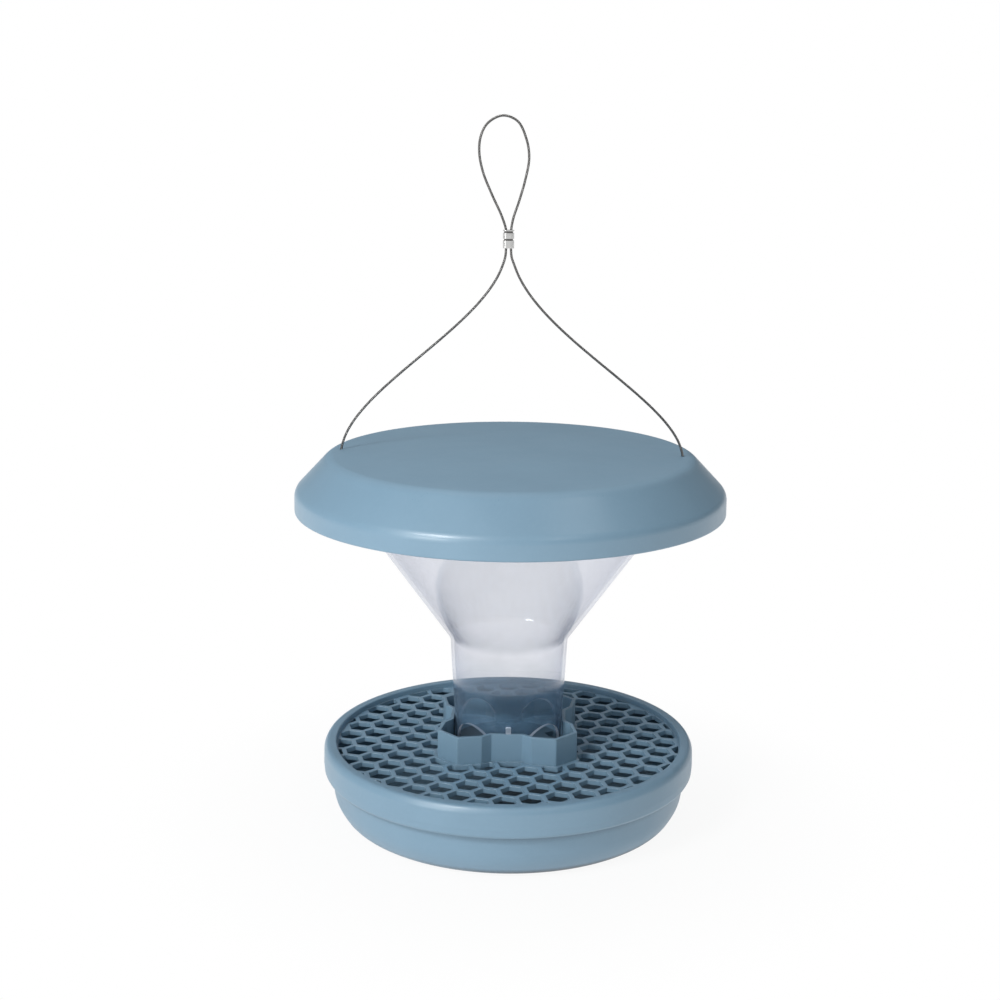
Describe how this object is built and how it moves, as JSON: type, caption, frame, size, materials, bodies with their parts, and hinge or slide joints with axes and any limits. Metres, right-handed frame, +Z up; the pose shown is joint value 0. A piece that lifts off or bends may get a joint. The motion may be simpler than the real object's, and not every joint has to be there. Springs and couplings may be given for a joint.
{
  "type": "hanging gravity bird feeder",
  "caption": "Hanging gravity seed feeder: clear funnel hopper under a round roof, feeding a petal collar on a honeycomb grate tray over a catch bowl, on a steel rope hanger.",
  "frame": {"origin": "centre of the catch bowl's foot ring, on the surface the bowl stands on", "axes": "+Z up along the feeder's axis; +X through the roof's right-hand rope hole; -Y is the side facing the viewer"},
  "size_m": [0.2656, 0.2656, 0.4357],
  "materials": {
    "bowl_plastic": "satin moulded plastic",
    "tray_plastic": "satin moulded plastic",
    "roof_plastic": "satin moulded plastic",
    "clear_plastic": "clear moulded plastic",
    "steel_rope": "twisted steel strands",
    "crimp_metal": "bright, crimped"
  },
  "bodies": {
    "bowl": {"catch_bowl": "bowl_plastic"},
    "tray": {"grate_tray": "tray_plastic"},
    "hopper": {"hopper": "clear_plastic", "cable_tail_left": "steel_rope", "cable_tail_right": "steel_rope", "cable_stops": "crimp_metal"},
    "roof": {"roof": "roof_plastic"},
    "hanger_cable": {"cable_leg_left": "steel_rope", "cable_leg_right": "steel_rope"},
    "hanger_loop": {"cable_loop": "steel_rope", "loop_ferrule": "crimp_metal"}
  },
  "joints": [
    {"name": "bowl_release", "type": "slide", "parent": "bowl", "child": "tray", "axis": [0, 0, 1], "range_m": [0, 0.03]},
    {"name": "hopper_twist", "type": "hinge", "parent": "tray", "child": "hopper", "pos_m": [0, 0, 0.045], "axis": [0, 0, 1], "range_deg": [0, 25]},
    {"name": "roof_lift", "type": "slide", "parent": "hopper", "child": "roof", "axis": [0, 0, 1], "range_m": [0, 0.035], "deforming": ["cable_leg_left", "cable_leg_right"]},
    {"name": "hanger_swing", "type": "hinge", "parent": "roof", "child": "hanger_cable", "pos_m": [0, 0, 0.2325], "axis": [1, 0, 0], "range_deg": [-80, 80], "stiffness_Nm_per_rad": 0.05},
    {"name": "loop_travel", "type": "slide", "parent": "hanger_cable", "child": "hanger_loop", "axis": [0, 0, -1], "range_m": [0, 0.0502]}
  ],
  "couplings": [
    {"joint": "loop_travel", "follows": "roof_lift", "ratio": 1.4335}
  ]
}
